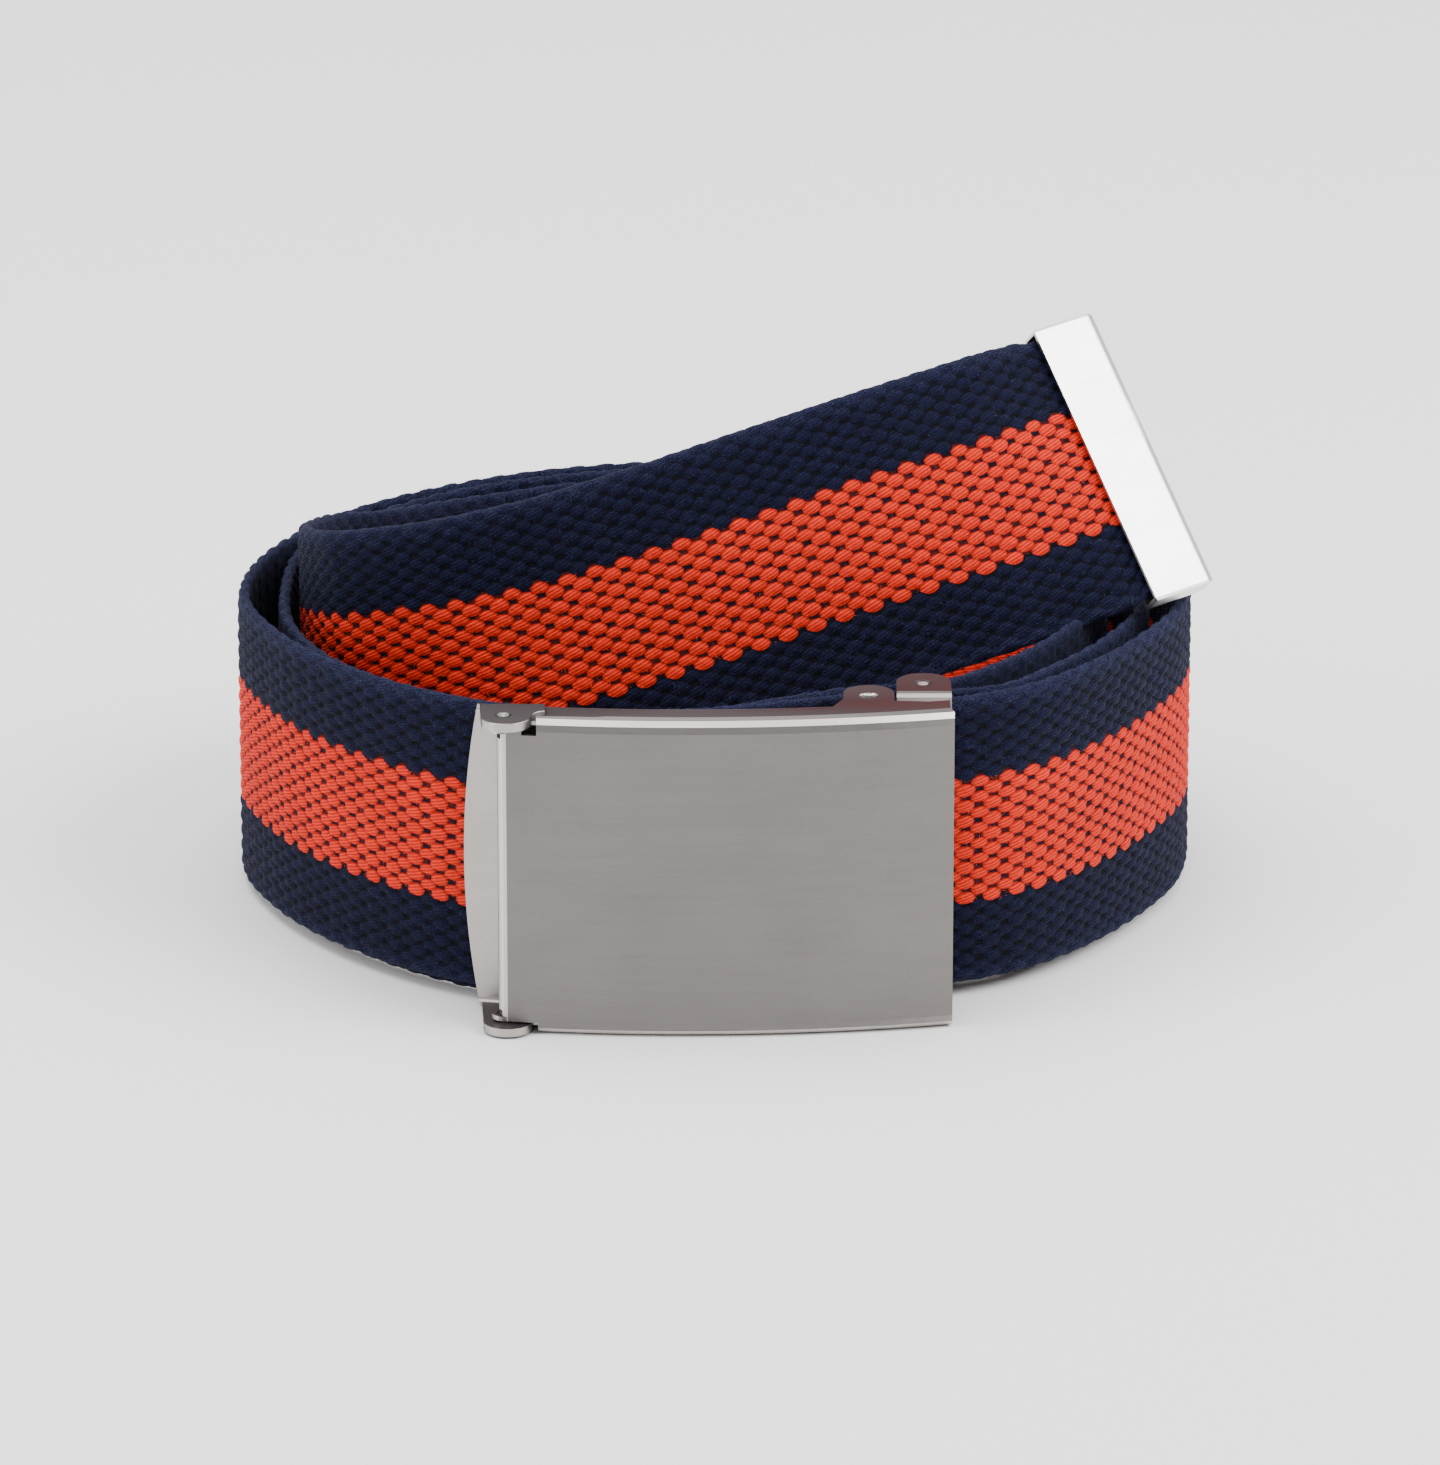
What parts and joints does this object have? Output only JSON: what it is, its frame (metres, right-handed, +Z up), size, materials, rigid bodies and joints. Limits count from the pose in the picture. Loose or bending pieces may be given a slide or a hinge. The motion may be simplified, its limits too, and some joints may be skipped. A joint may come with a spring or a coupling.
{
  "type": "webbing belt",
  "caption": "Woven webbing belt with an orange centre stripe, coiled on its edge, with a flip-lid plate buckle and a metal tip on its tail laid up across the coil.",
  "frame": {"origin": "on the floor, below the middle of the bounding box", "axes": "+Z up; the buckle's face is towards -Y, its hinge at -X and its end clamp at +X"},
  "size_m": [0.1234, 0.1212, 0.0713],
  "materials": {
    "webbing": "coarse woven webbing, navy edges with an orange middle stripe",
    "tip_steel": "bright, finely brushed",
    "buckle_steel": "satin",
    "lid_steel": "finely brushed along its length",
    "pin_steel": "plain"
  },
  "bodies": {
    "belt": {"strap": "webbing", "tip_cap": "tip_steel", "buckle_frame": "buckle_steel", "clamp_jaw": "pin_steel", "hinge_pin_bottom": "pin_steel", "hinge_pin_top": "pin_steel"},
    "lid": {"buckle_lid": "lid_steel"}
  },
  "joints": [
    {"name": "lid_hinge", "type": "hinge", "parent": "belt", "child": "lid", "pos_m": [-0.02661, -0.05694, 0.02035], "axis": [0, 0, -1], "range_deg": [0, 110]}
  ]
}
